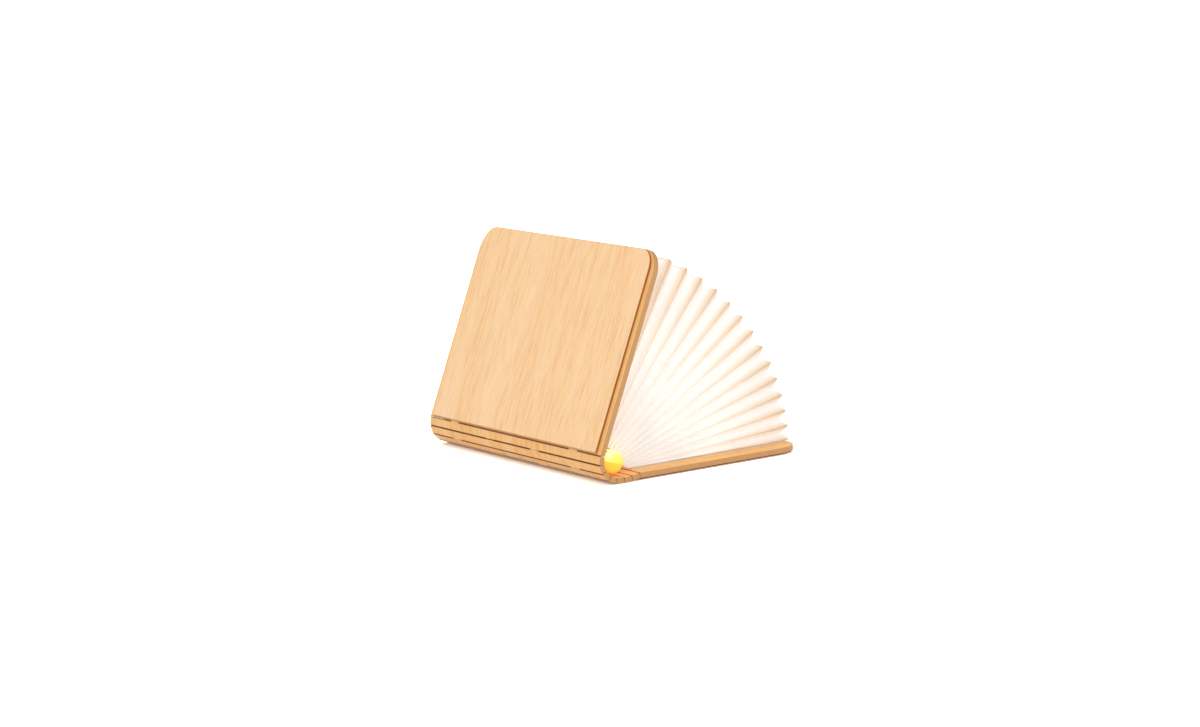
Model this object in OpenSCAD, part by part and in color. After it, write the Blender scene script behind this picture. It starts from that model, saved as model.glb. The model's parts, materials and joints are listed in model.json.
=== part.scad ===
// Folding book lamp: two timber covers on a kerf-cut spine, with a pleated paper shade
// and a light bar in the fold. The back cover lies flat and the front cover stands open.

/* [Covers] */
// Length of the book along its spine
spine_len = 122; // [90:1:220]
// Width of the back board, from its first kerf row to its fore edge
back_w = 66.3; // [50:0.1:150]
// Thickness of the base boards and of the spine that is cut from them
board_t = 1.85; // [1.5:0.05:3]
// Thickness of the raised outer panels
panel_t = 0.8; // [0.5:0.1:1.5]
// Border of base board left showing around each outer panel
panel_border = 2.4; // [1.5:0.1:4]
// Border that each panel leaves along the fore edge
fore_border = 0.3; // [0:0.1:1]
// Gap between the outermost kerf rows and the outer panels
panel_gap = 0.7; // [0.6:0.1:2]
// Corner radius at the fore edges of the base boards
corner_r = 9; // [4:0.5:14]

/* [Spine] */
// Opening angle between the covers as they stand
opening = 66.7; // [50:0.1:80]
// Distance from one kerf row to the next
kerf_pitch = 3.15; // [2.5:0.05:3.4]
// Depth of the spine's fold lines below its outer face
fold_depth = 0.45; // [0.4:0.05:0.8]
// Width of a kerf at its fold line
kerf_w = 0.08; // [0.06:0.02:0.2]
// Bend of the first kerf row towards the ground, where the spine rests
first_dip = 8; // [0:0.5:9]
// Length of each bridge that the kerf rows leave uncut
bridge_len = 6; // [4:0.5:8]
// Distance from the ends of the spine to the two bridges of the even rows
bridge_end = 18.5; // [10:0.5:24]
// Distance from the middle of the spine to the single bridge of the odd rows
bridge_offset = 16; // [0:1:20]
// Running clearance around a bridge
bridge_gap = 0.05; // [0.03:0.01:0.1]

/* [Paper] */
// Distance from the ends of the boards to the paper
page_inset = 7.8; // [4:0.1:12]
// Distance from the fore edge of the boards to the paper next to them
page_fore = 0.8; // [0.6:0.1:4]
// How far the middle of the paper stands out beyond its first and last sheets
page_bulge = 1.8; // [0:0.1:2]
// Distance from the first kerf row to the root of the paper when closed
page_root = 0.9; // [0.8:0.1:3]
// Depth of the pleats from ridge to valley at the fore edge
fore_depth = 2.1; // [1.5:0.1:3]
// Depth of the pleats from ridge to valley at their roots
root_depth = 3; // [1.5:0.1:4]
// Thickness of the folded paper, measured across the wall
paper_t = 0.35; // [0.2:0.05:0.5]
// Thickness of the end papers glued to the boards
end_paper_t = 0.25; // [0.2:0.05:0.4]
// How far the weight of the paper crowds the lower pleats; 1 spaces them evenly
sag = 1.1; // [1:0.05:1.2]

/* [Light bar] */
// Radius of the light bar
bar_r = 3.9; // [3.6:0.1:4]
// Distance from the spine's inner face to the centre of the light bar
bar_lift = 5; // [4.6:0.1:5.4]
// Shift of the light bar along the spine towards the back board
bar_shift = 0.4; // [-0.4:0.1:0.6]
// Turn of the light bar's seam from the stave that carries it
bar_turn = 32; // [0:1:45]
// Distance from the ends of the boards to the light bar
bar_inset = 3; // [2:0.5:8]
// Wall of the tray and of the diffuser
bar_wall = 0.7; // [0.5:0.1:0.9]
// Length of the bar's end caps
cap_len = 1.6; // [1.2:0.1:3]
// Clearance between the pieces of the light bar
bar_gap = 0.05; // [0.03:0.01:0.1]
// Number of light-emitting diodes
led_count = 12; // [6:1:16]
// Length of the rechargeable cell
cell_len = 44; // [30:1:50]

/* [Magnets] */
// Radius of the cover magnets
magnet_r = 3; // [2:0.25:4]
// Thickness of the cover magnets
magnet_t = 1; // [0.8:0.1:1.2]
// Distance from the edges of a board to its magnets
magnet_edge = 12; // [8:0.5:20]

/* [Hidden] */
$fn = 64;

// Colours of the materials
timber = "burlywood";
timber_edge = "peru";
paper = "ivory";
bar_plastic = "gold";
board_green = "darkgreen";
metal = "silver";

// Counts of the spine: kerf rows, and the loose sheets that the rows and staves carry
rows = 8;
folds = 2 * rows;

// Height of the boards' inner faces over the fold lines, and half the width of the kerf
inner_t = board_t - fold_depth;
half_kerf = kerf_w / 2;
full_turn = 360;
// Spare angle left in every bevel
bevel_spare = 0.6;

// Bend of each kerf row as the lamp stands, counted from the back board. The first row dips
// to the ground, and from there the bends swell and fade in a wave that turns the spine up.
wave_rows = 9.6;
upward_turn = 180 - opening + first_dip;
function wave(k) = pow(sin(180 * (k - 1) / wave_rows), 2);
function wave_sum(k) = k < 2 ? 0 : wave(k) + wave_sum(k - 1);
function row_bend(k) = k == 1 ? -first_dip : upward_turn * wave(k) / wave_sum(rows);
function bend_after(k) = k < 1 ? 0 : bend_after(k - 1) + row_bend(k);

// Angle that each fold has opened from closed: 0 on the back cover, all of it on the front
fold_lead = 0.9;
fold_trail = 0.1;
fold_spread = folds - 1 + fold_trail - fold_lead;
function fold_angle(i) =
    i <= 0 ? 0 : i >= folds ? opening : opening * pow((i - fold_lead) / fold_spread, sag);

// Places of the kerf rows in the plane of the section, standing open and closed
function step(angle) = kerf_pitch * [-cos(angle), sin(angle)];
function row_open(k) = k <= 1 ? [0, panel_t + fold_depth] : row_open(k - 1) + step(bend_after(k - 1));
function closed_bend(k) = bend_after(k) + fold_angle(2 * k);
function row_closed(k) =
    k <= 1 ? [0, panel_t + fold_depth] : row_closed(k - 1) + step(closed_bend(k - 1));

// The boards' inner faces when closed, and the front board that then ends flush
closed_gap = row_closed(rows)[1] - row_closed(1)[1] - 2 * inner_t;
front_w = back_w - row_closed(rows)[0];

// The bevels that let a row bend inwards when closed and outwards when folded right back
function row_share(k) = (fold_angle(2 * k) - fold_angle(2 * k - 2)) / opening;
function bevel_in(k) = max(0, row_bend(k) + opening * row_share(k)) / 2 + bevel_spare;
function bevel_out(k) =
    max(0, (full_turn - opening) * row_share(k) - row_bend(k)) / 2 + bevel_spare;

// A point of the closed book carried to where fold i holds it as the lamp stands
function turned(p, a) = [p[0] * cos(a) - p[1] * sin(a), p[0] * sin(a) + p[1] * cos(a)];
function fold_row(i) = max(1, ceil(i / 2));
function opened(i, p) = row_open(fold_row(i)) + turned(p - row_closed(fold_row(i)), fold_angle(i));

// The model's origin lies on the ground under the middle of the back panel
panel_len = back_w - panel_gap - fore_border;
origin_x = panel_gap + panel_len / 2;

// Space shared by the parts of the light bar
bar_len = spine_len - 2 * bar_inset;
bar_stave = 5;
bore_r = bar_r - bar_wall;
core_len = bar_len - 2 * cap_len;
plug_len = 1;
led_board_t = 0.6;
led_board_w = 2 * (bore_r - 0.35);
led_board_top = 0.5;
led_size = [1.6, 2.4, 0.7];
socket_size = [5.4, 1.8, 5];
socket_wall = 0.2;
socket_start = core_len / 2 + cap_len - socket_size[2];
led_board_start = plug_len + bar_gap - core_len / 2;
led_board_end = socket_start - bar_gap;
led_board_len = led_board_end - led_board_start;
led_pitch = led_board_len / led_count;
cell_size = [4, 2.1];
cell_top = led_board_top - led_board_t - bar_gap;
charge_size = [4, 15, 0.6];
charge_start = socket_start - bar_gap - charge_size[1];
switch_r = 0.8;
switch_len = 9;
switch_start = led_board_start + 1;
lead_r = 0.3;
lead_space = 2;
light_r = 0.4;
light_drop = 2.2;
foot_w = 1.6;

module in_frame() {
    translate([-origin_x, 0, 0]) children();
}

// Carries children to kerf row k, turned with the stave that follows it.
// There +X points back along the strip and +Z points to the inside of the book.
module at_row(k) {
    p = row_open(max(k, 1));
    in_frame() translate([p[0], 0, p[1]]) rotate([0, bend_after(k), 0]) children();
}

// Extrudes a section drawn in X and Z along the spine
module along_spine(length) {
    rotate([90, 0, 0]) linear_extrude(height = length, center = true) children();
}

// Sheet lying in X and Y from x0 to x1, with rounded corners at its x1 end
module sheet(x0, x1, width, r, thickness) {
    linear_extrude(height = thickness) difference() {
        translate([x0, -width / 2]) square([x1 - x0, width]);
        for (side = [-1, 1]) translate([x1 - r, side * (width / 2 - r)]) difference() {
            translate([0, side > 0 ? 0 : -r - 1]) square([r + 1, r + 1]);
            circle(r);
        }
    }
}

// Places of the bridges in kerf row k
function bridge_places(k) =
    k % 2 == 0 ? [bridge_end - spine_len / 2, spine_len / 2 - bridge_end] : [-bridge_offset];

// Bridges of row k, grown by a clearance where they are cut from the staves
module bridges(k, gap) {
    for (y = bridge_places(k)) translate([0, y, 0]) rotate([90, 0, 0])
        cylinder(r = fold_depth - bridge_gap + gap, h = bridge_len + 2 * gap, center = true);
}

// Wedge that bevels the end of a strip at kerf row k, which lies at x = 0
module kerf_side(k) {
    reach = 2 * board_t;
    along_spine(spine_len + 2) polygon([
        [half_kerf, 0],
        [half_kerf + reach * tan(bevel_in(k)), reach],
        [-reach, reach],
        [-reach, -reach],
        [half_kerf + reach * tan(bevel_out(k)), -reach]
    ]);
}

// Base board of a cover, drawn with its kerf row at x = 0
module cover_board(k, width) {
    difference() {
        translate([0, 0, -fold_depth]) sheet(0, width, spine_len, corner_r, board_t);
        kerf_side(k);
        bridges(k, bridge_gap);
        for (side = [-1, 1])
            translate([width - magnet_edge, side * (spine_len / 2 - magnet_edge), -fold_depth - 1])
                cylinder(r = magnet_r + bar_gap, h = magnet_t + bar_gap + 1);
    }
}

module cover_panel(width) {
    translate([0, 0, -fold_depth - panel_t]) sheet(
        panel_gap, width - fore_border, spine_len - 2 * panel_border, corner_r - panel_border, panel_t
    );
}

module cover_magnets(width) {
    for (side = [-1, 1])
        translate([width - magnet_edge, side * (spine_len / 2 - magnet_edge), -fold_depth])
            cylinder(r = magnet_r, h = magnet_t);
}

module end_paper(x0, width) {
    translate([0, 0, inner_t])
        sheet(x0, width - page_fore, spine_len - 2 * page_inset, corner_r / 4, end_paper_t);
}

// The front cover is drawn like the back one and mirrored to lie beyond the last row
module as_front() {
    at_row(rows) mirror([1, 0, 0]) children();
}

module back_board() {
    color(timber) at_row(0) cover_board(1, back_w);
}

module back_panel() {
    color(timber) at_row(0) cover_panel(back_w);
}

module back_end_paper() {
    color(paper) at_row(0) end_paper(page_root + 1, back_w);
}

module back_magnets() {
    color(metal) at_row(0) cover_magnets(back_w);
}

module front_board() {
    color(timber) difference() {
        as_front() cover_board(rows, front_w);
        as_front() translate([switch_x, switch_y, inner_t - magnet_t - bar_gap])
            cylinder(r = magnet_r / 2 + bar_gap, h = magnet_t + 1);
    }
}

module front_panel() {
    color(timber) as_front() cover_panel(front_w);
}

module front_end_paper() {
    color(paper) as_front() end_paper(page_root + 1 - row_closed(rows)[0], front_w);
}

module front_magnets() {
    color(metal) as_front() cover_magnets(front_w);
}

// The small magnet that tells the switch in the bar that the book is shut
switch_x = 4;
switch_y = switch_start + switch_len / 2;

module switch_magnet() {
    color(metal) as_front() translate([switch_x, switch_y, inner_t - magnet_t])
        cylinder(r = magnet_r / 2, h = magnet_t);
}

module spine_stave(k) {
    color(k % 2 == 0 ? timber : timber_edge) at_row(k) difference() {
        translate([-kerf_pitch, -spine_len / 2, -fold_depth]) cube([kerf_pitch, spine_len, board_t]);
        rotate([0, 0, 180]) kerf_side(k);
        bridges(k, bridge_gap);
        translate([-kerf_pitch, 0, 0]) {
            kerf_side(k + 1);
            bridges(k + 1, bridge_gap);
        }
    }
}

module kerf_bridge(k) {
    color(timber_edge) at_row(k) bridges(k, 0);
}

// The pleated shade: ridges on the sheets of the closed book, valleys between them.
// Each line runs from the root along the near end, the fore edge and the far end.
page_y = spine_len / 2 - page_inset;
page_x = back_w - page_fore;
sheet_step = (closed_gap - 2 * end_paper_t) / folds;
function sheet_z(i) = panel_t + board_t + end_paper_t + i * sheet_step;
function ridge_root(i) = opened(i, [page_root, sheet_z(i)]);
function bulge(i) = page_bulge * sin(180 * i / folds);
function ridge_fore(i) = opened(i, [page_x + bulge(i), sheet_z(i)]);
function inward(from, to, d) = to + d * (from - to) / norm(from - to);

// Points of a line of the fold, on the outer face or moved inwards by the paper
function fold_line(root, fore, root_d, fore_d) = [
    [root[0], -page_y + root_d, root[1]],
    let (f = inward(root, fore, fore_d)) [f[0], -page_y + fore_d, f[1]],
    let (f = inward(root, fore, fore_d)) [f[0], page_y - fore_d, f[1]],
    [root[0], page_y - root_d, root[1]]
];
function ridge(i, d) = fold_line(ridge_root(i), ridge_fore(i), d, d);
function valley(i, d) = fold_line(
    (ridge_root(i) + ridge_root(i + 1)) / 2, (ridge_fore(i) + ridge_fore(i + 1)) / 2,
    root_depth + d, fore_depth + d
);
function cover_line(i, d) = fold_line(ridge_root(i), ridge_fore(i), root_depth + d, fore_depth + d);

// Pleat i is one ridge with the half pleats on both sides of it, in its standing shape
module page_pleat(i) {
    points = [
        for (d = [0, paper_t]) each [
            each i == 1 ? cover_line(0, d) : valley(i - 1, d),
            each ridge(i, d),
            each i == folds - 1 ? cover_line(folds, d) : valley(i, d)
        ]
    ];
    // Number of the point at corner m of line n, on the outer layer 0 or the inner layer 1
    function id(n, m, layer) = 12 * layer + 4 * n + m;
    // The two triangles of a square whose corners are given in turn
    function halves(a, b, c, d) = [[a, b, c], [a, c, d]];
    faces = [
        for (n = [0, 1], m = [0 : 2]) each concat(
            halves(id(n, m, 0), id(n + 1, m, 0), id(n + 1, m + 1, 0), id(n, m + 1, 0)),
            halves(id(n, m, 1), id(n, m + 1, 1), id(n + 1, m + 1, 1), id(n + 1, m, 1))
        ),
        for (n = [0, 1]) each concat(
            halves(id(n, 0, 0), id(n, 0, 1), id(n + 1, 0, 1), id(n + 1, 0, 0)),
            halves(id(n + 1, 3, 0), id(n + 1, 3, 1), id(n, 3, 1), id(n, 3, 0))
        ),
        for (m = [0 : 2]) each concat(
            halves(id(0, m + 1, 0), id(0, m + 1, 1), id(0, m, 1), id(0, m, 0)),
            halves(id(2, m, 0), id(2, m, 1), id(2, m + 1, 1), id(2, m + 1, 0))
        )
    ];
    color(paper) in_frame() polyhedron(points = points, faces = faces, convexity = 6);
}

// Carries children to the centre of the light bar, with +Z along the diffuser's crown
module at_bar() {
    at_row(bar_stave) translate([bar_shift - kerf_pitch / 2, 0, inner_t + bar_lift])
        rotate([0, bar_turn, 0]) children();
}

// Half of the bar's tube: side 1 is the diffuser, side -1 the tray
module bar_half(side) {
    along_spine(core_len) intersection() {
        difference() {
            circle(bar_r);
            circle(bore_r);
        }
        translate([-bar_r, side > 0 ? bar_gap / 2 : -bar_r]) square([2 * bar_r, bar_r - bar_gap / 2]);
    }
}

module bar_foot() {
    color(timber_edge) at_row(bar_stave) translate([-kerf_pitch / 2, 0, 0])
        along_spine(core_len) difference() {
            translate([-foot_w / 2, inner_t]) square([foot_w, bar_lift]);
            translate([bar_shift, inner_t + bar_lift]) circle(bar_r);
        }
}

module bar_tray() {
    color("white") at_bar() bar_half(-1);
}

module bar_diffuser() {
    color(bar_plastic) at_bar() bar_half(1);
}

// End cap with a rounded outer edge, drawn to stand on the end of the bar's core
module bar_cap() {
    edge_r = cap_len / 2;
    rotate_extrude() union() {
        square([bar_r - edge_r, cap_len]);
        square([bar_r, cap_len - edge_r]);
        translate([bar_r - edge_r, cap_len - edge_r]) circle(edge_r);
    }
    translate([0, 0, -plug_len]) cylinder(r = bore_r - bar_gap, h = plug_len);
}

module bar_cap_near() {
    color(bar_plastic) at_bar() translate([0, -core_len / 2, 0]) rotate([90, 0, 0]) bar_cap();
}

module bar_cap_far() {
    opening_w = socket_size[0] + 2 * bar_gap;
    opening_h = socket_size[1] + 2 * bar_gap;
    color("white") at_bar() translate([0, core_len / 2, 0]) rotate([-90, 0, 0]) difference() {
        bar_cap();
        cube([opening_w, opening_h, 4 * cap_len], center = true);
        translate([0, light_drop, -2 * cap_len]) cylinder(r = light_r + bar_gap, h = 4 * cap_len);
    }
}

// Boards, cell and switch inside the bar, from the diodes down to the tray
module led_board() {
    color(board_green) at_bar()
        translate([-led_board_w / 2, led_board_start, led_board_top - led_board_t])
            cube([led_board_w, led_board_len, led_board_t]);
}

module leds() {
    color("lightyellow") at_bar() for (i = [0 : led_count - 1])
        translate([0, led_board_start + (i + 0.5) * led_pitch, led_board_top + led_size[2] / 2])
            cube(led_size, center = true);
}

// The cell lies behind the switch, and the leads run on from it to the charging board
module cell() {
    color(metal) at_bar()
        translate([-cell_size[0] / 2, charge_start - lead_space - cell_len, cell_top - cell_size[1]])
            cube([cell_size[0], cell_len, cell_size[1]]);
}

module cell_leads() {
    color("red") at_bar() for (side = [-1, 1])
        translate([side * charge_size[0] / 4, charge_start - lead_space, cell_top - charge_size[2] / 2])
            rotate([-90, 0, 0]) cylinder(r = lead_r, h = lead_space);
}

module charge_board() {
    color(board_green) at_bar()
        translate([-charge_size[0] / 2, charge_start, cell_top - charge_size[2]]) cube(charge_size);
}

module charge_socket() {
    inner = [socket_size[0] - 2 * socket_wall, socket_size[1] - 2 * socket_wall, socket_size[2]];
    color(metal) at_bar() translate([0, socket_start, 0]) rotate([-90, 0, 0])
        translate([0, 0, socket_size[2] / 2]) difference() {
            cube(socket_size, center = true);
            translate([0, 0, socket_wall]) cube(inner, center = true);
        }
}

module charge_light() {
    color("lime") at_bar() translate([0, core_len / 2 - plug_len, -light_drop]) rotate([-90, 0, 0])
        cylinder(r = light_r, h = plug_len + cap_len);
}

module lid_switch() {
    color("black") at_bar() translate([0, switch_start, cell_top - switch_r]) rotate([-90, 0, 0])
        cylinder(r = switch_r, h = switch_len);
}

back_board();
back_panel();
back_end_paper();
back_magnets();
front_board();
front_panel();
front_end_paper();
front_magnets();
switch_magnet();
page_pleat(1);  // page_pleat_1
page_pleat(2);  // page_pleat_2
page_pleat(3);  // page_pleat_3
page_pleat(4);  // page_pleat_4
page_pleat(5);  // page_pleat_5
page_pleat(6);  // page_pleat_6
page_pleat(7);  // page_pleat_7
page_pleat(8);  // page_pleat_8
page_pleat(9);  // page_pleat_9
page_pleat(10);  // page_pleat_10
page_pleat(11);  // page_pleat_11
page_pleat(12);  // page_pleat_12
page_pleat(13);  // page_pleat_13
page_pleat(14);  // page_pleat_14
page_pleat(15);  // page_pleat_15
kerf_bridge(1);  // kerf_bridge_1
kerf_bridge(2);  // kerf_bridge_2
kerf_bridge(3);  // kerf_bridge_3
kerf_bridge(4);  // kerf_bridge_4
kerf_bridge(5);  // kerf_bridge_5
kerf_bridge(6);  // kerf_bridge_6
kerf_bridge(7);  // kerf_bridge_7
kerf_bridge(8);  // kerf_bridge_8
spine_stave(1);  // spine_stave_1
spine_stave(2);  // spine_stave_2
spine_stave(3);  // spine_stave_3
spine_stave(4);  // spine_stave_4
spine_stave(5);  // spine_stave_5
spine_stave(6);  // spine_stave_6
spine_stave(7);  // spine_stave_7
bar_foot();
bar_tray();
bar_diffuser();
bar_cap_near();
bar_cap_far();
led_board();
leds();
cell();
cell_leads();
charge_board();
charge_socket();
charge_light();
lid_switch();
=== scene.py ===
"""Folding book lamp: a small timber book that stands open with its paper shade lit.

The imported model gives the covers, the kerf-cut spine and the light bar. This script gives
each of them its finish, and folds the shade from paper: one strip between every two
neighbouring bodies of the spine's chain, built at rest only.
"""
import json
import logging
import math
from dataclasses import dataclass
from enum import Enum
from typing import Any, Iterable, Sequence

import bpy
import numpy as np
from mathutils import Matrix, Vector

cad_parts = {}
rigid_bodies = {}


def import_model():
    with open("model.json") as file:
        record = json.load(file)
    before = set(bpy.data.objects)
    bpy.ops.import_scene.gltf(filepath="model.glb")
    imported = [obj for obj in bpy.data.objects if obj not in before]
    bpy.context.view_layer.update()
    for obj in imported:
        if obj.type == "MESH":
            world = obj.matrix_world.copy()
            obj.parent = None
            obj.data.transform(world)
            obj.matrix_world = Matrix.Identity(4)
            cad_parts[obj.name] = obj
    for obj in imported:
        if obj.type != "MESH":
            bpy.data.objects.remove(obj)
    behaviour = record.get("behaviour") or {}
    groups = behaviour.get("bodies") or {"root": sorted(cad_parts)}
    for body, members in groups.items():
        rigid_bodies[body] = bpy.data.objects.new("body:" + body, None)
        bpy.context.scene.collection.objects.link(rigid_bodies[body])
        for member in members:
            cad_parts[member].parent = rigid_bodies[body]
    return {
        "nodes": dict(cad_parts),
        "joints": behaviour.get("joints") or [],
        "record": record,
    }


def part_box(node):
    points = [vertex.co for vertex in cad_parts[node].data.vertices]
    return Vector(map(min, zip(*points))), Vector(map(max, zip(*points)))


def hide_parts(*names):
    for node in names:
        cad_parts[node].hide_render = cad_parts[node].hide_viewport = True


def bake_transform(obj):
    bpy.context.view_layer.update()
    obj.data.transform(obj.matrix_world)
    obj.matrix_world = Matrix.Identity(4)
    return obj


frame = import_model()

logging.basicConfig(level=logging.INFO, format="%(levelname)s %(message)s")
log = logging.getLogger("book_lamp")

MM = 0.001
SEED = 7

SUBTRACT = {"operation": "SUBTRACT"}
MULTIPLY = {"operation": "MULTIPLY"}
ABSOLUTE = {"operation": "ABSOLUTE"}
MAXIMUM = {"operation": "MAXIMUM"}
DOT = {"operation": "DOT_PRODUCT"}
BLEND = {"data_type": "RGBA"}
DARKEN = {"data_type": "RGBA", "blend_type": "MULTIPLY"}


# ---------------------------------------------------------------- colours and nodes


def colour(code: str) -> tuple[float, float, float, float]:
    """Converts a colour as it is seen into the renderer's linear values.

    Args:
        code: An sRGB colour as six hexadecimal digits.

    Returns:
        Linear red, green and blue with an alpha of one.
    """
    parts = [int(code[i : i + 2], 16) / 255 for i in (0, 2, 4)]
    linear = [c / 12.92 if c <= 0.04045 else ((c + 0.055) / 1.055) ** 2.4 for c in parts]
    return (linear[0], linear[1], linear[2], 1.0)


class NodeSheet:
    """The node tree of a material or a world, with one short way to add and join nodes.

    Attributes:
        block: The material or the world.
        tree: Its node tree.
    """

    def __init__(self, block: bpy.types.Material | bpy.types.World) -> None:
        """Empties the node tree.

        Args:
            block: A new material or world.
        """
        self.block = block
        self.block.use_nodes = True
        self.tree = self.block.node_tree
        self.tree.nodes.clear()

    @classmethod
    def material(cls, name: str) -> "NodeSheet":
        """Starts an empty material.

        Args:
            name: The material's name.

        Returns:
            Its node sheet.
        """
        return cls(bpy.data.materials.new(name))

    def add(
        self, kind: str, settings: dict[str, Any] | None = None, out: int | str = 0, **inputs: Any
    ) -> bpy.types.NodeSocket | None:
        """Adds one node.

        Args:
            kind: The node's type without its "ShaderNode" prefix.
            settings: Properties of the node itself; "stops" are a ramp's places and codes.
            out: The output to give back, by its name or number.
            **inputs: Values or sources. A socket goes by its name, with underscores for
                spaces, or by "i" and its number.

        Returns:
            The chosen output, or None for a node that has no outputs.
        """
        node = self.tree.nodes.new("ShaderNode" + kind)
        own = dict(settings or {})
        for i, (place, code) in enumerate(own.pop("stops", ())):
            elements = node.color_ramp.elements
            element = elements[i] if i < 2 else elements.new(place)
            element.position, element.color = place, colour(code)
        for key, value in own.items():
            setattr(node, key, value)
        for key, value in inputs.items():
            numbered = key[0] == "i" and key[1:].isdigit()
            socket = node.inputs[int(key[1:]) if numbered else key.replace("_", " ")]
            if isinstance(value, bpy.types.NodeSocket):
                self.tree.links.new(value, socket)
            else:
                socket.default_value = value
        return node.outputs[out] if node.outputs else None

    def grain(self, size_mm: Sequence[float], detail: float = 4.0) -> bpy.types.NodeSocket:
        """Makes an uneven pattern on the object's own coordinates.

        Args:
            size_mm: Size of its features along X, Y and Z, in millimetres.
            detail: Octaves of finer noise.

        Returns:
            A value about one half.
        """
        place = self.add("TexCoord", out="Object")
        scale = tuple(1 / (size * MM) for size in size_mm)
        mapped = self.add("Mapping", Vector=place, Scale=scale)
        return self.add("TexNoise", Vector=mapped, Scale=1.0, Detail=detail, Roughness=0.6)

    def finish(self, surface: bpy.types.NodeSocket, kind: str = "OutputMaterial") -> Any:
        """Joins the surface to the output.

        Args:
            surface: The last shader's output.
            kind: The output node's type.

        Returns:
            The material or the world.
        """
        self.add(kind, Surface=surface)
        return self.block


# ---------------------------------------------------------------- finishes


@dataclass(frozen=True)
class Slot:
    """A narrow laser cut along the spine, whose scorch breaks off at the bridges.

    Attributes:
        place: A point of the cut in the section.
        bridge: Distance from the middle of the spine to a bridge's middle. The scorch breaks
            off at this distance on both sides of the middle.
        bridge_half: Half the length of a bridge.
    """

    place: tuple[float, float, float]
    bridge: float
    bridge_half: float


@dataclass(frozen=True)
class Timber:
    """Satin beech plywood, cut by laser: fine straight grain, tanned ends, scorched slots.

    The satin gives a broad, weak shine, and the pores break it up into short dashes. The
    laser browns what it cuts, so every edge is darker than the face and the narrow slots
    are darkest.

    Attributes:
        name: The material's name.
        face: Colour of the face.
        streak: Colour of the darker grain.
        blush: Colour of the broad pale bands.
        edge: Colour of the cut across the spine's ends.
        scorch: Colour of the narrow cuts along the spine.
        normal: Direction that the board's face looks in, in the row frame.
        slots: The slots that border the board.
        scorched: How far the scorch reaches from a slot's middle.
        pore_mm: Size of the pores. Real ones are about 0.1 mm wide, which is too fine to
            show, so they are drawn about 0.45 mm wide.
        streak_mm: Size of the grain's streaks, which are about 1 mm wide.
        band_mm: Size of the broad bands, as wide as a few years' growth.
        pore_tone: Brightness at the bottom of a pore.
        pore_depth: Depth of the pores' relief.
    """

    name: str
    face: str
    streak: str
    blush: str
    edge: str
    scorch: str
    normal: tuple[float, float, float]
    slots: tuple[Slot, ...] = ()
    scorched: float = 0.34 * MM
    pore_mm: tuple[float, float, float] = (6.667, 0.45455, 6.667)
    streak_mm: tuple[float, float, float] = (14.286, 1.0, 14.286)
    band_mm: tuple[float, float, float] = (50.0, 7.6923, 50.0)
    pore_tone: float = 0.84
    pore_depth: float = 0.03 * MM

    def lips(self, sheet: NodeSheet) -> bpy.types.NodeSocket:
        """Finds the scorched lips of the slots, which stop at the bridges.

        The mask is the nearness to the slot's line, times one where the distance from the
        bridge's middle is more than half a bridge, and the larger of the two slots' masks.

        Args:
            sheet: The material's node sheet.

        Returns:
            One beside a slot and zero elsewhere.
        """
        place = sheet.add("TexCoord", out="Object")
        length = sheet.add("Math", ABSOLUTE, i0=sheet.add("SeparateXYZ", out="Y", Vector=place))
        tangent = (self.normal[2], 0.0, -self.normal[0])
        darkest: Any = 0.0
        for slot in self.slots:
            offset = sheet.add("VectorMath", SUBTRACT, i0=place, i1=slot.place)
            across = sheet.add("VectorMath", DOT, "Value", i0=offset, i1=tangent)
            across = sheet.add("Math", ABSOLUTE, i0=across)
            lip = sheet.add("MapRange", Value=across, i1=self.scorched, i2=self.scorched * 0.6)
            past = sheet.add("Math", SUBTRACT, i0=length, i1=slot.bridge)
            past = sheet.add("Math", ABSOLUTE, i0=past)
            start = slot.bridge_half - self.scorched
            cut = sheet.add("MapRange", Value=past, i1=start, i2=slot.bridge_half)
            both = sheet.add("Math", MULTIPLY, i0=lip, i1=cut)
            darkest = sheet.add("Math", MAXIMUM, i0=darkest, i1=both)
        return darkest

    def build(self) -> bpy.types.Material:
        """Makes the material.

        Returns:
            The material, with grain that runs across the spine.
        """
        sheet = NodeSheet.material(self.name)
        pores, streaks = sheet.grain(self.pore_mm), sheet.grain(self.streak_mm, 3.0)
        bands = sheet.grain(self.band_mm, 2.0)
        stops = [(0.34, self.streak), (0.52, self.face)]
        base = sheet.add("ValToRGB", {"stops": stops}, Fac=streaks)
        share = sheet.add("MapRange", Value=bands, i1=0.42, i2=0.66)
        base = sheet.add("Mix", BLEND, 2, i0=share, i6=base, i7=colour(self.blush))
        tone = sheet.add("MapRange", Value=pores, i1=0.30, i2=0.52, i3=self.pore_tone)
        base = sheet.add("Mix", DARKEN, 2, i0=1.0, i6=base, i7=tone)
        if self.slots:
            base = sheet.add("Mix", BLEND, 2, i0=self.lips(sheet), i6=base, i7=colour(self.scorch))
        # The cut shows where the surface turns away from the face.
        facing = sheet.add("TexCoord", out="Normal")
        flat = sheet.add("VectorMath", DOT, "Value", i0=facing, i1=self.normal)
        flat = sheet.add("Math", ABSOLUTE, i0=flat)
        across = sheet.add("Math", ABSOLUTE, i0=sheet.add("SeparateXYZ", out="Y", Vector=facing))
        cut = sheet.add("Mix", BLEND, 2, i0=across, i6=colour(self.scorch), i7=colour(self.edge))
        share = sheet.add("MapRange", Value=flat, i1=0.75, i2=0.35)
        base = sheet.add("Mix", BLEND, 2, i0=share, i6=base, i7=cut)
        shader = sheet.add(
            "BsdfPrincipled",
            Base_Color=base,
            Roughness=sheet.add("MapRange", Value=streaks, i3=0.46, i4=0.62),
            Specular_IOR_Level=0.35,
            Normal=sheet.add("Bump", Height=pores, Strength=1.0, Distance=self.pore_depth),
        )
        return sheet.finish(shader)


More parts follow.
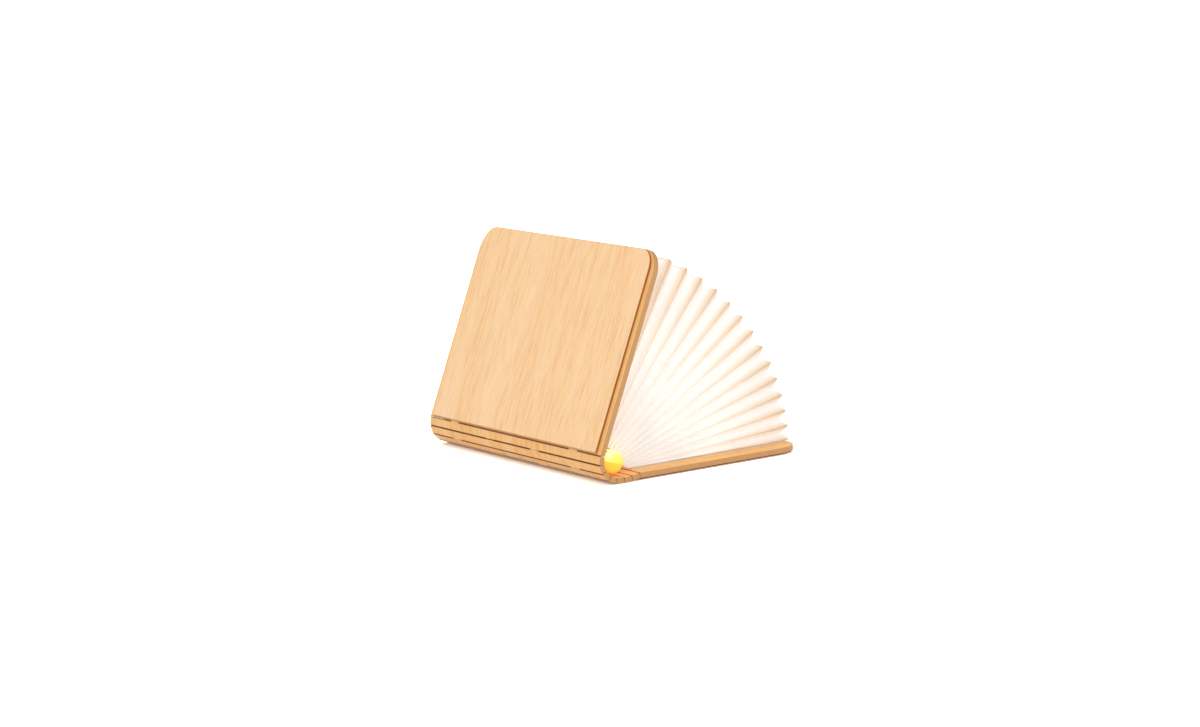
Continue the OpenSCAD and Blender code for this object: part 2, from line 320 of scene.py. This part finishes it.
@dataclass(frozen=True)
class Paper:
    """Folded translucent paper with light behind it: matt and bright, with painted shade on its
    folds.

    The sheet scatters the light that comes through, so it looks nearly white and even. Its
    ridges at the fore edge lie double and far from the light, so they look tan.

    Attributes:
        name: The material's name.
        face: Colour of the sheet.
        rim: Colour of its ridges away from the light.
        tan: Colour of the ridges at the fore edge, painted shade where they lie double and
            farthest from the light.
        glow: Strength of the painted glow, which stands in for the light that comes through the
            sheet or falls on it.
        fibre_mm: Size of the paper's fibres. Real ones are about 0.05 mm wide, which is too
            fine to show, so they are drawn coarser.
        cloud_mm: Size of the thicker and thinner clouds in the sheet.
        fibre_depth: Depth of the fibres' relief.
        through: Share of light from outside that passes through the sheet.
    """

    name: str
    face: str
    rim: str
    tan: str
    glow: float
    fibre_mm: float = 1.4286
    cloud_mm: float = 16.667
    fibre_depth: float = 0.02 * MM
    through: float = 0.4

    def build(self) -> bpy.types.Material:
        """Makes the material.

        Returns:
            The material, which reads how far each point lies from the light.
        """
        sheet = NodeSheet.material(self.name)
        reach = sheet.add("Attribute", {"attribute_name": "reach"}, "Fac")
        crease = sheet.add("Attribute", {"attribute_name": "crease"}, "Fac")
        fibres = sheet.grain((self.fibre_mm,) * 3, 5.0)
        clouds = sheet.grain((self.cloud_mm,) * 3, 2.0)
        # Painted shade: the ridges darken through the rim's colour to tan towards the fore edge,
        # where they lie double and far from the light, and a fine line of painted shade runs along
        # every fold.
        ridge_shade = sheet.add("Math", MULTIPLY, i0=crease, i1=reach)
        stops = [(0.35, self.face), (0.8, self.rim), (1.0, self.tan)]
        tint = sheet.add("ValToRGB", {"stops": stops}, Fac=ridge_shade)
        line = sheet.add("MapRange", Value=crease, i1=0.86, i2=1.0, i3=0.0, i4=0.35)
        tint = sheet.add("Mix", BLEND, 2, i0=line, i6=tint, i7=colour(self.rim))
        mottle = sheet.add("MapRange", Value=clouds, i1=0.3, i2=0.7, i3=0.96, i4=1.0)
        tint = sheet.add("Mix", DARKEN, 2, i0=1.0, i6=tint, i7=mottle)
        # The light is a little weaker at the root, at the fore edge and on the ridges.
        light = sheet.add("MapRange", Value=reach, i1=0.1, i2=0.5, i3=0.53, i4=0.61)
        far = sheet.add("MapRange", Value=reach, i1=0.6, i2=1.0, i3=1.0, i4=0.7)
        ridge = sheet.add("MapRange", Value=crease, i3=1.0, i4=0.65)
        for share in (far, ridge, self.glow):
            light = sheet.add("Math", MULTIPLY, i0=light, i1=share)
        skin = sheet.add(
            "BsdfPrincipled",
            Base_Color=tint,
            Roughness=0.8,
            Specular_IOR_Level=0.2,
            Emission_Color=tint,
            Emission_Strength=light,
            Normal=sheet.add("Bump", Height=fibres, Strength=1.0, Distance=self.fibre_depth),
        )
        back = sheet.add("BsdfTranslucent", Color=tint)
        return sheet.finish(sheet.add("MixShader", Fac=self.through, i1=skin, i2=back))


@dataclass(frozen=True)
class LitPlastic:
    """Milky moulded plastic over the diodes: bright at its crown and amber at its foot.

    The plastic hides the diodes and spreads their warm light, so it has no bright spots.
    Under the seam less light comes through, and the end looks amber there.

    Attributes:
        name: The material's name.
        centre: A point on the bar's axis.
        crown: Direction of the crown from the axis.
        lit: Direction of the brightest side from the axis.
        radius: The bar's radius in metres.
        strength: Strength of the light.
        haze_mm: Size of the haze in the plastic, from the flow into the mould.
    """

    name: str
    centre: tuple[float, float, float]
    crown: tuple[float, float, float]
    lit: tuple[float, float, float]
    radius: float
    strength: float = 0.7
    haze_mm: float = 4.5455

    def build(self) -> bpy.types.Material:
        """Makes the material.

        Returns:
            The material, yellow to pale over the bar's seam and amber under it.
        """
        sheet = NodeSheet.material(self.name)
        place = sheet.add("TexCoord", out="Object")
        offset = sheet.add("VectorMath", SUBTRACT, i0=place, i1=self.centre)
        height, light = (
            sheet.add(
                "MapRange",
                Value=sheet.add("VectorMath", DOT, "Value", i0=offset, i1=way),
                i1=-self.radius,
                i2=self.radius,
            )
            for way in (self.crown, self.lit)
        )
        stops = [(0.3, "FDC23A"), (0.62, "FDDA5E"), (0.95, "FDF0A6")]
        upper = sheet.add("ValToRGB", {"stops": stops}, Fac=light)
        stops = [(0.0, "EE9F2C"), (0.44, "F6B02C")]
        lower = sheet.add("ValToRGB", {"stops": stops}, Fac=height)
        seam = sheet.add("MapRange", Value=height, i1=0.46, i2=0.50)
        tone = sheet.add("Mix", BLEND, 2, i0=seam, i6=lower, i7=upper)
        haze = sheet.grain((self.haze_mm,) * 3, 3.0)
        shader = sheet.add(
            "BsdfPrincipled",
            Base_Color=tone,
            Roughness=sheet.add("MapRange", Value=haze, i3=0.35, i4=0.5),
            Emission_Color=tone,
            Emission_Strength=self.strength,
        )
        return sheet.finish(shader)


@dataclass(frozen=True)
class Plain:
    """A small part, moulded, plated or lacquered: one tone with a slight mottle.

    The mottle keeps the shine from being as even as glass.

    Attributes:
        name: The material's name.
        base: Its colour.
        dark: Its colour where the mottle is deepest.
        rough: Its roughness.
        metal: One for bare metal, and zero otherwise.
        mottle_mm: Size of the mottle. A real skin's texture is about 0.05 mm wide, which is
            too fine to show, so it is drawn coarser.
        mottle_depth: Depth of its relief.
    """

    name: str
    base: str
    dark: str
    rough: float
    metal: float = 0.0
    mottle_mm: float = 1.1111
    mottle_depth: float = 0.01 * MM

    def build(self) -> bpy.types.Material:
        """Makes the material.

        Returns:
            The material.
        """
        sheet = NodeSheet.material(self.name)
        mottle = sheet.grain((self.mottle_mm,) * 3, 3.0)
        stops = [(0.3, self.dark), (0.6, self.base)]
        low, high = self.rough - 0.05, self.rough + 0.08
        shader = sheet.add(
            "BsdfPrincipled",
            Base_Color=sheet.add("ValToRGB", {"stops": stops}, Fac=mottle),
            Metallic=self.metal,
            Roughness=sheet.add("MapRange", Value=mottle, i3=low, i4=high),
            Normal=sheet.add("Bump", Height=mottle, Strength=1.0, Distance=self.mottle_depth),
        )
        return sheet.finish(shader)


# ---------------------------------------------------------------- the spine's chain


class Chain:
    """The bodies from the back cover to the front one, and how each turns with the fold."""

    def __init__(self, joints: Sequence[dict[str, Any]]) -> None:
        """Follows the joints from the root.

        Args:
            joints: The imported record's hinges, each turning about -Y.
        """
        by_parent = {j["parent"]: j for j in joints}
        body = (set(by_parent) - {j["child"] for j in joints}).pop()
        self.bodies = [body]
        self.pivots: list[np.ndarray] = []
        self.closing: list[float] = []
        while body in by_parent:
            joint = by_parent[body]
            self.pivots.append(np.array([joint["pos_m"][0], joint["pos_m"][2]]))
            self.closing.append(math.radians(-joint["range_deg"][0]))
            body = joint["child"]
            self.bodies.append(body)
        self.folds = len(self.pivots)

    def opened(self, index: int, point: Sequence[float]) -> np.ndarray:
        """Carries a point of the closed book to where a body holds it at rest.

        Args:
            index: The body's number, zero for the back cover.
            point: X and Z in the closed book, in metres.

        Returns:
            X and Z at rest.
        """
        place = np.array(point, float)
        for pivot, angle in zip(self.pivots[:index], self.closing[:index]):
            place = pivot + turn(place - pivot, angle)
        return place

    def closed(self, index: int, point: Sequence[float]) -> np.ndarray:
        """Carries a point that a body holds at rest to its place in the closed book.

        Args:
            index: The body's number.
            point: X and Z at rest, in metres.

        Returns:
            X and Z in the closed book.
        """
        place = np.array(point, float)
        for pivot, angle in reversed(list(zip(self.pivots[:index], self.closing[:index]))):
            place = pivot + turn(place - pivot, -angle)
        return place


def turn(vector: np.ndarray, angle: float) -> np.ndarray:
    """Turns a vector from +X towards +Z.

    Args:
        vector: X and Z.
        angle: The angle in radians.

    Returns:
        The turned vector.
    """
    c, s = math.cos(angle), math.sin(angle)
    return np.array([c * vector[0] - s * vector[1], s * vector[0] + c * vector[1]])


# ---------------------------------------------------------------- the shade


@dataclass
class Shade:
    """The pleated paper: three walls round the fold, with mitred corners at the fore edge.

    Attributes:
        chain: The spine's chain.
        paper: The paper's material.
        root: Distance from the first fold to the paper's root when shut.
        root_depth: Depth of the pleats from ridge to valley at the root.
        fore_depth: Depth of the pleats at the fore edge.
        bulge: How far the middle ridges stand out beyond the first and the last.
        slack: Spread of the ridges about their even line, as folded paper has.
        clear: Gap that the paper's root keeps from the light bar.
        thickness: Thickness of the sheet.
        hinge_band: Width of the strip over which a pleat would turn from one body to the next. Not
            used.
        wall_steps: Points along each of the three walls.
        root_tries: Places tried for a ridge's root.
    """

    chain: Chain
    paper: bpy.types.Material
    root: float = 0.9 * MM
    root_depth: float = 3.0 * MM
    fore_depth: float = 2.1 * MM
    bulge: float = 1.8 * MM
    slack: float = 0.08 * MM
    clear: float = 0.5 * MM
    thickness: float = 0.16 * MM
    hinge_band: float = 0.2 * MM
    wall_steps: int = 16
    root_tries: int = 60

    def __post_init__(self) -> None:
        """Reads the shade's ends and height from the end papers, and the bar it clears."""
        low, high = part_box("back_end_paper")
        self.half_length = high[1]
        self.fore_x = high[0]
        self.root_x = self.chain.pivots[0][0] + self.root
        self.bottom = high[2]
        front = [(corner[0], corner[2]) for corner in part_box("front_end_paper")]
        self.top = min(self.chain.closed(self.chain.folds, corner)[1] for corner in front)
        low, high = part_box("bar_cap_near")
        held = frame["record"]["behaviour"]["bodies"]
        bodies = enumerate(self.chain.bodies)
        holder = next(index for index, body in bodies if "bar_diffuser" in held[body])
        self.bar_open = np.array([low[0] + high[0], low[2] + high[2]]) / 2
        self.bar_shut = self.chain.closed(holder, self.bar_open)
        self.bar_radius = (high[2] - low[2]) / 2 + self.clear
        hinge = self.chain.closed(self.chain.folds, self.chain.pivots[-1])[0]
        self.inmost = (self.root_x - self.root / 2, hinge + self.root)
        rng = np.random.default_rng(SEED)
        self.jitter = np.abs(rng.normal(0.0, self.slack, self.chain.folds + 1))

    def root_at(self, index: int, z: float) -> float:
        """Finds how far in a ridge's root can come beside the bar, both shut and at rest.

        Args:
            index: The body that carries the ridge.
            z: The ridge's height in the closed book.

        Returns:
            X in the closed book.
        """
        inmost = self.inmost[0] + (self.inmost[1] - self.inmost[0]) * index / self.chain.folds
        for x in np.linspace(inmost, self.root_x, self.root_tries):
            shut = np.array([x, z])
            gaps = shut - self.bar_shut, self.chain.opened(index, shut) - self.bar_open
            if all(np.linalg.norm(gap) > self.bar_radius for gap in gaps):
                return float(x)
        return self.root_x

    def ridge_ends(self, index: int) -> tuple[np.ndarray, np.ndarray]:
        """Finds one ridge's line in the section.

        The ridges share the closed book's height evenly. Their fore ends stand out by the
        bulge times the sine of half a turn over the fold, less a little slack.

        Args:
            index: The body that carries the ridge.

        Returns:
            The root and the fore end, each as X and Z.
        """
        share = index / self.chain.folds
        z = self.bottom + (self.top - self.bottom) * share
        fore = self.fore_x + self.bulge * math.sin(math.pi * share)
        if 0 < index < self.chain.folds:
            fore -= self.jitter[index]
        root = self.root_at(index, z)
        return self.chain.opened(index, (root, z)), self.chain.opened(index, (fore, z))

    def line(
        self, root: np.ndarray, fore: np.ndarray, root_in: float, fore_in: float
    ) -> np.ndarray:
        """Lays a fold's line round the three walls, straight between its four corners.

        Args:
            root: X and Z at the spine.
            fore: X and Z at the fore edge.
            root_in: How far the line lies inside the ends at the spine.
            fore_in: How far it lies inside the ends and the fore edge there.

        Returns:
            Points from the near root to the far root.
        """
        inward = (root - fore) / np.linalg.norm(root - fore)
        corner = fore + inward * fore_in
        y_root, y_fore = self.half_length - root_in, self.half_length - fore_in
        x, z = np.column_stack([root, corner, corner, root])
        y = np.array([-y_root, -y_fore, y_fore, y_root])
        at = np.arange(3 * self.wall_steps + 1) / self.wall_steps
        return np.column_stack([np.interp(at, np.arange(4), values) for values in (x, y, z)])

    def rows(self, index: int) -> list[tuple[np.ndarray, float]]:
        """Lists the lines of the strip between two bodies.

        Args:
            index: The first body.

        Returns:
            Lines with their share of the way out, one on a ridge and zero in a valley.
        """
        (r0, f0), (r1, f1) = self.ridge_ends(index), self.ridge_ends(index + 1)
        deep = (self.root_depth, self.fore_depth)
        if index == 0:
            return [(self.line(r0, f0, *deep), 0.0), (self.line(r1, f1, 0, 0), 1.0)]
        if index == self.chain.folds - 1:
            return [(self.line(r0, f0, 0, 0), 1.0), (self.line(r1, f1, *deep), 0.0)]
        valley = self.line((r0 + r1) / 2, (f0 + f1) / 2, *deep)
        return [(self.line(r0, f0, 0, 0), 1.0), (valley, 0.0), (self.line(r1, f1, 0, 0), 1.0)]

    def build(self) -> None:
        """Makes the strips, each between its two bodies at rest."""
        for index in range(self.chain.folds):
            rows = self.rows(index)
            lines = [line for line, _ in rows]
            strip = grid_object(f"shade_pleat_{index + 1:02d}", lines, self.paper)
            count = len(lines[0])
            wall = np.abs(np.arange(count) - (count - 1) / 2) / self.wall_steps
            reach = np.clip(1.5 - wall, 0, 1)
            set_value(strip, "reach", np.tile(reach, len(rows)))
            set_value(strip, "crease", np.repeat([share for _, share in rows], count))
            solid = strip.modifiers.new("sheet", "SOLIDIFY")
            solid.thickness = self.thickness
            solid.offset = 0.0
            self.hang(strip, index)

    def hang(self, strip: bpy.types.Object, index: int) -> None:
        """Lets a strip take the solid pleats' place, which it hides; the strip does not follow the
        bodies.

        Args:
            strip: The strip.
            index: The first body.
        """
        (r0, f0), (r1, f1) = self.ridge_ends(index), self.ridge_ends(index + 1)
        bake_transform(strip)
        both = {max(index, 1), min(index + 1, self.chain.folds - 1)}
        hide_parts(*(f"page_pleat_{number}" for number in sorted(both)))


def grid_object(
    name: str, lines: Sequence[np.ndarray], material: bpy.types.Material
) -> bpy.types.Object:
    """Makes an open sheet from lines of equal length, with one face between four neighbours.

    Args:
        name: The piece's name.
        lines: The lines, in metres.
        material: The sheet's material.

    Returns:
        The object, at the origin.
    """
    count = len(lines[0])
    first = np.arange((len(lines) - 1) * count).reshape(-1, count)[:, :-1].ravel()
    faces = np.column_stack([first, first + 1, first + count + 1, first + count])
    mesh = bpy.data.meshes.new(name)
    mesh.from_pydata(np.concatenate(lines).tolist(), [], faces.tolist())
    mesh.materials.append(material)
    piece = bpy.data.objects.new(name, mesh)
    bpy.context.scene.collection.objects.link(piece)
    return piece


def set_value(piece: bpy.types.Object, name: str, values: Iterable[float]) -> None:
    """Stores one number for each point of a mesh.

    Args:
        piece: The object.
        name: The attribute's name.
        values: The numbers, in the order of the points.
    """
    attribute = piece.data.attributes.new(name, "FLOAT", "POINT")
    attribute.data.foreach_set("value", np.asarray(values, np.float32))


# ---------------------------------------------------------------- finishes of the frame

# Face, streak, blush, edge and scorch of the boards, and of the paler panels on them.
BOARD_TONES = ("F8BF77", "EAAB63", "FAC786", "CC9864", "A0622C")
# The panels' edge and scorch are darker than the boards': partly the laser's browning, partly
# painted shade on edges that sit back within the boards' borders.
PANEL_TONES = ("FED29C", "F5C089", "FFD6A6", "A86830", "94541F")


class Part(Enum):
    """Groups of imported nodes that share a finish."""

    BACK_BOARD = ("back_board",)
    BACK_PANEL = ("back_panel",)
    FRONT_BOARD = ("front_board",)
    FRONT_PANEL = ("front_panel",)
    END_PAPER = ("back_end_paper", "front_end_paper")
    LIT = ("bar_diffuser", "bar_cap_near")
    WHITE_PLASTIC = ("bar_tray", "bar_cap_far")
    FOAM = ("bar_foot",)
    CIRCUIT = ("led_board", "charge_board")
    DIODE = ("leds",)
    FOIL = ("cell",)
    LEAD = ("cell_leads",)
    STEEL = ("charge_socket",)
    CLEAR = ("charge_light",)
    GLASS = ("lid_switch",)
    MAGNET = ("back_magnets", "front_magnets", "switch_magnet")


@dataclass
class Dressing:
    """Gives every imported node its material.

    Attributes:
        chain: The spine's chain.
        crown_deg: Direction of the light bar's crown, from +X towards +Z.
        lit_deg: Direction of its brightest side.
    """

    chain: Chain
    crown_deg: float = 71.0
    lit_deg: float = 112.0

    def direction(self, index: int) -> tuple[float, float, float]:
        """Finds where the strip of board that follows a fold looks at rest.

        Args:
            index: The body's number.

        Returns:
            The face's normal in the row frame.
        """
        if index in (0, self.chain.folds):
            angle = 0.0 if index == 0 else sum(self.chain.closing)
            return (-math.sin(angle), 0.0, math.cos(angle))
        here, there = self.chain.pivots[index - 1], self.chain.pivots[index]
        step = (there - here) / np.linalg.norm(there - here)
        return (float(-step[1]), 0.0, float(step[0]))

    def slots(self, index: int) -> tuple[Slot, ...]:
        """Lists the slots beside a body.

        Args:
            index: The body's number.

        Returns:
            One slot or two.
        """
        found = []
        for fold in sorted({max(index - 1, 0), min(index, self.chain.folds - 1)}):
            bridges = frame["nodes"][f"kerf_bridge_{fold // 2 + 1}"]
            ends = [abs(corner.co.y) for corner in bridges.data.vertices]
            near, far = min(ends), max(ends)
            x, z = self.chain.pivots[fold]
            found.append(Slot((x, 0.0, z), (near + far) / 2, (far - near) / 2))
        return tuple(found)

    def timber(self, name: str, index: int, panel: bool = False) -> bpy.types.Material:
        """Makes the timber of one board.

        Args:
            name: The board's name.
            index: The body that holds it.
            panel: Whether it is an outer panel, which is a little paler, has darker edges with
                painted shade, and has no slots.

        Returns:
            The material.
        """
        tones = PANEL_TONES if panel else BOARD_TONES
        slots = () if panel else self.slots(index)
        normal = self.direction(index)
        return Timber(f"laser_cut_timber_{name}", *tones, normal, slots).build()

    def light_bar(self) -> bpy.types.Material:
        """Makes the light bar's milky plastic, placed on the bar's axis.

        Returns:
            The material.
        """
        low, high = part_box("bar_cap_near")
        centre = tuple((low + high) / 2)
        radius = float(high[2] - low[2]) / 2
        turns = (math.radians(angle) for angle in (self.crown_deg, self.lit_deg))
        crown, lit = ((math.cos(a), 0.0, math.sin(a)) for a in turns)
        return LitPlastic("milky_plastic_lit", centre, crown, lit, radius).build()

    def build(self) -> None:
        """Puts the materials on the nodes."""
        last = self.chain.folds
        for part, index, panel in (
            (Part.BACK_BOARD, 0, False),
            (Part.BACK_PANEL, 0, True),
            (Part.FRONT_BOARD, last, False),
            (Part.FRONT_PANEL, last, True),
        ):
            dress(part.value, self.timber(part.value[0], index, panel))
        for index, body in enumerate(self.chain.bodies):
            held = frame["record"]["behaviour"]["bodies"][body]
            strip = [name for name in held if name.startswith(("spine", "kerf"))]
            if strip:
                dress(strip, self.timber(strip[0], index))
        dress(Part.LIT.value, self.light_bar())
        for part, finish in {
            # Glue darkens the paper and the board stops the light from behind, so it is the
            # dullest sheet; its weak glow is painted light, for the shade's light falling on it.
            Part.END_PAPER: Paper("glued_end_paper", "FFF3DC", "F4DDB8", "F4DDB8", 0.25),
            # Satin shells, moulded with a faint texture.
            Part.WHITE_PLASTIC: Plain("white_moulded_plastic", "F3F0E8", "E9E4D8", 0.45),
            # Open foam between two films of glue, with no shine at all.
            Part.FOAM: Plain("foam_tape", "E6DFCB", "D2CAB4", 0.85),
            # Glossy lacquer screened over glass fibre.
            Part.CIRCUIT: Plain("solder_mask", "1E5B34", "154425", 0.35),
            # Yellow resin poured over the dies, smooth as it set.
            Part.DIODE: Plain("phosphor_resin", "FBE88C", "F1D15A", 0.25),
            # Pressed aluminium pouch, a little dull.
            Part.FOIL: Plain("cell_foil", "C4C6CA", "A9ABB0", 0.35, 1.0),
            # Extruded vinyl, half matt.
            Part.LEAD: Plain("lead_insulation", "A32020", "7D1616", 0.5),
            # Pressed shell, plated bright.
            Part.STEEL: Plain("plated_steel", "C9C9CC", "B2B2B6", 0.3, 1.0),
            # Moulded acrylic rod with polished ends.
            Part.CLEAR: Plain("light_pipe", "DDF2E0", "CDE8D2", 0.15),
            # Drawn glass, the shiniest piece.
            Part.GLASS: Plain("sealed_glass_tube", "8FA399", "7B8F86", 0.1),
            # Plating on ground metal, a soft mirror.
            Part.MAGNET: Plain("nickel_plating", "C2C2C8", "ABABB2", 0.22, 1.0),
        }.items():
            dress(part.value, finish.build())


def dress(names: Iterable[str], material: bpy.types.Material) -> None:
    """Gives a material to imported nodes.

    Args:
        names: The nodes.
        material: The material.
    """
    for name in names:
        node = frame["nodes"][name]
        if not node.material_slots:
            node.data.materials.append(material)
        for slot in node.material_slots:
            slot.material = material
        log.info("%s: %s", name, material.name)


# ---------------------------------------------------------------- studio


@dataclass(frozen=True)
class Softbox:
    """A square lamp that looks at the aim.

    Attributes:
        name: The lamp's name.
        place: Where it hangs, in metres.
        size: The side of its square.
        power: Its power in watts.
    """

    name: str
    place: tuple[float, float, float]
    size: float
    power: float

    def build(self, aim: Sequence[float]) -> None:
        """Makes the lamp.

        Args:
            aim: The point that it looks at.
        """
        data = bpy.data.lights.new(self.name, "AREA")
        data.size = self.size
        data.energy = self.power
        lamp = bpy.data.objects.new(self.name, data)
        lamp.location = self.place
        way = Vector(aim) - Vector(self.place)
        lamp.rotation_euler = way.to_track_quat("-Z", "Y").to_euler()
        bpy.context.scene.collection.objects.link(lamp)


@dataclass
class Studio:
    """A pale floor, soft lamps and the camera.

    Attributes:
        aim: The point in the middle of the picture.
        azimuth: Direction of the camera round the lamp, in degrees.
        elevation: Height of the camera over the horizon, in degrees.
        roll: Turn of the camera about its own axis, in degrees.
        distance: Distance from the aim to the camera.
        focal: Focal length as a multiple of the picture's width.
        floor_half: Half the side of the floor.
        floor_gain: Brightness of the floor's own colour where the eye sees it.
        floor_lift: Light that is added to it there.
        sky: Strength of the plain light from all round.
    """

    aim: tuple[float, float, float] = (-11.59 * MM, -0.92 * MM, 31.27 * MM)
    azimuth: float = -29.84
    elevation: float = 8.942
    roll: float = -3.938
    distance: float = 1.435
    focal: float = 3.373
    floor_half: float = 6.0
    floor_gain: float = 1.6
    floor_lift: float = 0.14
    sky: float = 0.62

    def build(self) -> None:
        """Makes the camera, the floor, the world and the lamps."""
        self.camera()
        self.floor()
        self.world()
        for box in (
            Softbox("key_softbox", (-0.9, -1.1, 1.3), 1.2, 11.0),
            Softbox("fill_softbox", (1.3, -0.6, 0.8), 1.4, 3.0),
            Softbox("top_softbox", (0.1, 0.3, 1.6), 1.4, 7.0),
        ):
            box.build(self.aim)

    def camera(self) -> None:
        """Makes the camera."""
        a, e, roll = (math.radians(v) for v in (self.azimuth, self.elevation, self.roll))
        back = Vector((math.sin(a) * math.cos(e), -math.cos(a) * math.cos(e), math.sin(e)))
        right = (-back).cross(Vector((0, 0, 1))).normalized()
        up = right.cross(-back)
        across = right * math.cos(roll) + up * math.sin(roll)
        data = bpy.data.cameras.new("camera")
        data.lens = self.focal * data.sensor_width
        data.clip_start, data.clip_end = 0.01, 50.0
        camera = bpy.data.objects.new("camera", data)
        turned = Matrix((across, back.cross(across), back)).transposed()
        place = Vector(self.aim) + back * self.distance
        camera.matrix_world = Matrix.Translation(place) @ turned.to_4x4()
        bpy.context.scene.collection.objects.link(camera)
        bpy.context.scene.camera = camera

    def floor(self) -> None:
        """Makes the floor, which looks white and keeps the lamp's contact shadow."""
        sheet = NodeSheet.material("pale_studio_floor")
        seen = seen_directly(sheet)
        bright = (self.floor_gain,) * 3 + (1.0,)
        tone = sheet.add("Mix", BLEND, 2, i0=seen, i6=colour("F4F4F2"), i7=bright)
        matt = sheet.add("BsdfDiffuse", Color=tone)
        strength = sheet.add("Math", MULTIPLY, i0=seen, i1=self.floor_lift)
        lift = sheet.add("Emission", Color=colour("FFFFFF"), Strength=strength)
        both = sheet.add("AddShader", i0=matt, i1=lift)
        half = self.floor_half
        lines = [np.array([(-half, y, 0.0), (half, y, 0.0)]) for y in (-half, half)]
        floor = grid_object("studio_floor", lines, sheet.finish(both))

    def world(self) -> None:
        """Makes the surroundings: white to the eye, plain soft light to the lamp."""
        sheet = NodeSheet(bpy.data.worlds.new("studio"))
        strength = sheet.add("MapRange", Value=seen_directly(sheet), i3=self.sky, i4=1.0)
        light = sheet.add("Background", Color=colour("FFFFFF"), Strength=strength)
        bpy.context.scene.world = sheet.finish(light, "OutputWorld")
        bpy.context.scene.view_settings.view_transform = "Standard"


def seen_directly(sheet: NodeSheet) -> bpy.types.NodeSocket:
    """Tells whether the eye sees a surface, by itself or through gloss or glass.

    Args:
        sheet: The node sheet of the floor or the world.

    Returns:
        One for camera, glossy and transmission rays, and zero for others.
    """
    seen = sheet.add("LightPath", out="Is Camera Ray")
    for ray in ("Is Glossy Ray", "Is Transmission Ray"):
        seen = sheet.add("Math", MAXIMUM, i0=seen, i1=sheet.add("LightPath", out=ray))
    return seen


def main() -> None:
    """Builds the lamp's looks."""
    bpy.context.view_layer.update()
    chain = Chain(frame["joints"])
    Studio().build()
    Dressing(chain).build()
    paper = Paper("folded_translucent_paper", "FDFBF9", "F6E9D9", "E4CBA4", 0.40)
    Shade(chain, paper.build()).build()


if __name__ == "__main__":
    main()
